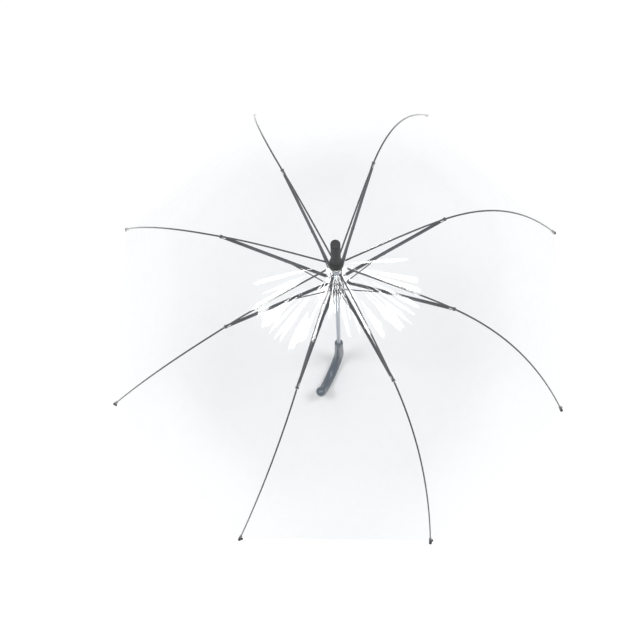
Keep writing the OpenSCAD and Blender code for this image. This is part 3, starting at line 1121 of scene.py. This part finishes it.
@dataclass
class ShaftParts:
    """What is on the shaft's axis: tube, ferrule, crown, slider, runner, crook and catch."""

    finishes: Finishes

    def build(self) -> None:
        """Dresses every piece on the shaft's axis."""
        f = self.finishes
        pieces = (
            ("shaft_tube", "steel_shaft", 0.0, f.tube, "bright_steel", "shaft"),
            ("ferrule", "long_ferrule", 0.4, f.nylon, "charcoal_plastic", "shaft"),
            ("crown_washer", "clamp_washer", 0.3, f.nylon, "charcoal_plastic", "shaft"),
            ("crown_notch", "slotted_crown", 0.25, f.acetal, "black_plastic", "shaft"),
            ("crown_wire", "crown_pivot_wire", 0.0, f.wire, "bright_steel", "shaft"),
            ("stop_pin", "slider_stop_pin", 0.1, f.wire, "bright_steel", "shaft"),
            ("slider_notch", "slotted_slider", 0.25, f.acetal, "black_plastic", "slider"),
            ("slider_wire", "slider_pivot_wire", 0.0, f.wire, "bright_steel", "slider"),
            ("runner_notch", "slotted_runner", 0.25, f.acetal, "black_plastic", "runner"),
            ("runner_sleeve", "milky_runner_sleeve", 0.25, f.sleeve, "milky_plastic", "runner"),
            ("crook_handle", "crook_grip", 0.3, f.slate, "slate_plastic", "shaft"),
            ("handle_collar", "grip_collar", 0.25, f.slate, "slate_plastic", "shaft"),
            ("release_button", "push_button", 0.3, f.slate, "slate_plastic", "button"),
            ("latch_strip", "catch_strip", 0.1, f.wire, "bright_steel", "button"),
        )
        for node, name, bevel, finish, slot, body in pieces:
            dress(finished_copy(node, name, bevel), finish, slot, body, node)


@dataclass
class CoilSprings:
    """The two coil springs, wound by Geometry Nodes.

    Attributes:
        finishes: The umbrella's finishes.
        clear: What a pressed coil is shorter by than the room it has; not used.
    """

    finishes: Finishes
    clear: float = 0.15 * MM

    def tree(self) -> bpy.types.NodeTree:
        """Builds the tree that winds a coil along Z and turns it into place."""
        tree, given = open_tree(
            "wound_coil",
            {"Turns": "Float", "Coil Radius": "Float", "Wire Radius": "Float", "Length": "Float",
             "Foot": "Vector", "Turn": "Vector", "Material": "Material"},
        )
        size = given.outputs
        coil = add_node(
            tree, "GeometryNodeCurveSpiral",
            {"Resolution": 32, "Rotations": size["Turns"], "Start Radius": size["Coil Radius"],
             "End Radius": size["Coil Radius"], "Height": size["Length"]},
        )
        section = add_node(
            tree, "GeometryNodeCurvePrimitiveCircle",
            {"Resolution": 10, "Radius": size["Wire Radius"]},
        )
        wire = add_node(
            tree, "GeometryNodeCurveToMesh",
            {"Curve": coil.outputs[0], "Profile Curve": section.outputs[0], "Fill Caps": True},
        )
        placed = add_node(
            tree, "GeometryNodeTransform",
            {"Geometry": wire.outputs[0], "Translation": size["Foot"], "Rotation": size["Turn"]},
        )
        close_tree(tree, placed, given)
        return tree

    def wind(self, tree: bpy.types.NodeTree, name: str, **sizes) -> bpy.types.Object:
        """Winds one coil.

        Args:
            tree: The winding tree.
            name: The piece's name.
            **sizes: Each input's value, with _ for a space in its name.

        Returns:
            The coil, with a plain mesh.
        """
        made = mesh_object(name, [(0, 0, 0)])
        coil = made.modifiers.new("coil", "NODES")
        coil.node_group = tree
        named = input_names(tree)
        for key, value in sizes.items():
            coil[named[key.replace("_", " ")]] = value
        to_plain_mesh(made)
        mend_faces(made)
        smooth_by_angle(made, 60)
        return made

    def press(
        self, made: bpy.types.Object
    ) -> None:
        """Gives a coil its own copy of its mesh.

        Args:
            made: The coil.
        """
        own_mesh(made)

    def build(self) -> None:
        """Winds the opening spring and the button's spring."""
        tree = self.tree()
        low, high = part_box("opening_spring")
        wire_r = 0.6 * MM
        spring = self.wind(
            tree, "opening_coil", Turns=5.5, Coil_Radius=5.6 * MM, Wire_Radius=wire_r,
            Length=high.z - low.z - 2 * wire_r, Foot=(0.0, 0.0, low.z + wire_r),
            Turn=(0.0, 0.0, 0.0), Material=self.finishes.wire,
        )
        dress(spring, self.finishes.wire, "bright_steel", "slider", "opening_spring")
        self.press(spring)
        low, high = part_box("button_spring")
        wire_r = 0.2 * MM
        spring = self.wind(
            tree, "button_coil", Turns=5.0, Coil_Radius=1.3 * MM, Wire_Radius=wire_r,
            Length=high.x - low.x - 2 * wire_r, Foot=(low.x + wire_r, 0.0, (low.z + high.z) / 2),
            Turn=(0.0, math.pi / 2, 0.0), Material=self.finishes.wire,
        )
        dress(spring, self.finishes.wire, "bright_steel", "button", "button_spring")
        self.press(spring)


# ---- Studio ----


@dataclass(frozen=True)
class Studio:
    """A camera almost overhead, a white floor, a white room and three soft lights.

    Attributes:
        aim: The point that the camera looks at.
        distance: From that point to the camera.
        azimuth: The camera's direction round the shaft, in degrees from +X.
        elevation: Its height above the horizon, in degrees.
        roll: How far the camera is turned about its own view, in degrees.
        lens_mm: Focal length on a 36 mm sensor.
        floor_gap: From the crook's lowest point down to the floor.
        floor_half: Half of the floor's side.
        room: Strength of the room's own light.
        lamps: Each light's name, place, side and power in watts.
        lit: The point that the lights face.
    """

    aim: tuple[float, float, float] = (0.0381, -0.0165, 0.3212)
    distance: float = 1.75
    azimuth: float = 30.75
    elevation: float = 76.4
    roll: float = -6.3
    lens_mm: float = 55.82
    floor_gap: float = 4.0 * MM
    floor_half: float = 9.0
    room: float = 0.6
    lamps: tuple[tuple, ...] = (
        ("overhead_softbox", (0.05, 0.0, 2.75), 0.35, 7),
        ("right_softbox", (0.6, -0.77, 2.75), 0.7, 28),
        ("left_softbox", (-0.39, 0.9, 2.75), 0.7, 28),
    )
    lit: tuple[float, float, float] = (0.0, 0.0, 0.3)

    def camera(self) -> None:
        """Places the camera."""
        data = bpy.data.cameras.new("camera")
        data.lens = self.lens_mm
        data.sensor_width = 36
        data.clip_start, data.clip_end = 0.05, 60
        eye = bpy.data.objects.new("camera", data)
        bpy.context.scene.collection.objects.link(eye)
        bpy.context.scene.camera = eye
        a, e, r = (math.radians(x) for x in (self.azimuth, self.elevation, self.roll))
        back = Vector((math.cos(a) * math.cos(e), math.sin(a) * math.cos(e), math.sin(e)))
        right = Vector((0, 0, 1)).cross(back).normalized()
        up = back.cross(right)
        right, up = right * math.cos(r) + up * math.sin(r), up * math.cos(r) - right * math.sin(r)
        turn = Matrix((right, up, back)).transposed().to_4x4()
        eye.matrix_world = Matrix.Translation(Vector(self.aim) + back * self.distance) @ turn

    def floor(self, material: bpy.types.Material) -> None:
        """Lays the floor just below the crook.

        Args:
            material: Its finish.
        """
        z = CAD_BOX[0].z - self.floor_gap
        corners = [(x * self.floor_half, y * self.floor_half, z)
                   for x, y in ((-1, -1), (1, -1), (1, 1), (-1, 1))]
        made = mesh_object("studio_floor", corners, [(0, 1, 2, 3)])
        made.data.materials.append(material)

    def lamp(self, name: str, place: tuple, size: float, watts: float) -> None:
        """Hangs a square soft light that points at the dome.

        Args:
            name: The light's name.
            place: Where it hangs.
            size: Its side.
            watts: Its power.
        """
        data = bpy.data.lights.new(name, "AREA")
        data.size = size
        data.energy = watts
        lamp = bpy.data.objects.new(name, data)
        bpy.context.scene.collection.objects.link(lamp)
        lamp.location = place
        way = Vector(self.lit) - Vector(place)
        lamp.rotation_euler = way.to_track_quat("-Z", "Y").to_euler()

    def light(self) -> None:
        """Fills the room with soft white light."""
        world = bpy.data.worlds.new("white_room")
        bpy.context.scene.world = world
        world.use_nodes = True
        background = world.node_tree.nodes["Background"].inputs
        background["Color"].default_value = linear("#ffffff")
        background["Strength"].default_value = self.room
        for name, place, size, watts in self.lamps:
            self.lamp(name, place, size, watts)
        bpy.context.scene.view_settings.view_transform = "Standard"


def main() -> None:
    """Builds the studio and the umbrella."""
    logging.basicConfig(level=logging.INFO, format="%(message)s")
    finishes = Finishes()
    studio = Studio()
    studio.camera()
    studio.floor(finishes.floor)
    studio.light()
    pivots = Pivots()
    curve = RibCurve(start=pivots.crown())
    RibRods(curve, pivots, finishes).build()
    StretcherArms(finishes).build()
    ShaftParts(finishes).build()
    CoilSprings(finishes).build()
    DomeFilm(curve, pivots, finishes.film).build()


if __name__ == "__main__":
    main()
